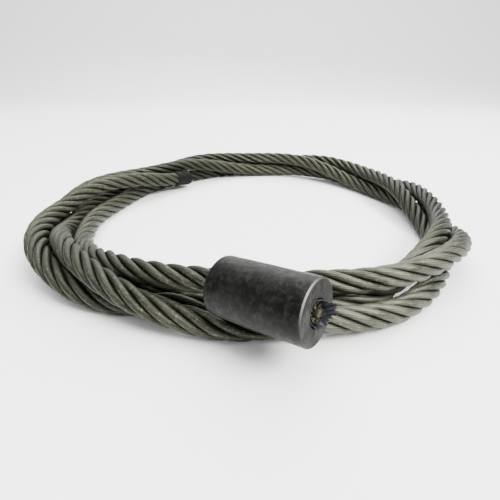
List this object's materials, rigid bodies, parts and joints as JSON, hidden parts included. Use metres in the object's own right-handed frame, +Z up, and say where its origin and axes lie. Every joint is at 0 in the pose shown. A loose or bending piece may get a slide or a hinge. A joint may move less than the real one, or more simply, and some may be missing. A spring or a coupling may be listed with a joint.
{
  "type": "wire rope sling with pressed ferrule",
  "caption": "Short six-strand steel wire rope laid in a loose coil, with a pressed steel button ferrule on one cut end and a taped plain end.",
  "frame": {"origin": "middle of the coil's footprint, on the surface the coil rests on", "axes": "+Z up, out of the coil; +X to the right and -Y towards the side where the ferrule lies"},
  "size_m": [0.1883, 0.2192, 0.0278],
  "materials": {
    "galvanised_wire": "dull galvanised wire",
    "fibre": "rough brown fibre",
    "pressed_steel": "dark mill scale, machined end face",
    "black_tape": "worn black binding tape"
  },
  "bodies": {
    "root": {"strand_1": "galvanised_wire", "strand_2": "galvanised_wire", "strand_3": "galvanised_wire", "strand_4": "galvanised_wire", "strand_5": "galvanised_wire", "strand_6": "galvanised_wire", "fibre_core": "fibre", "ferrule": "pressed_steel", "ferrule_tape": "black_tape", "end_tape": "black_tape"}
  },
  "joints": []
}
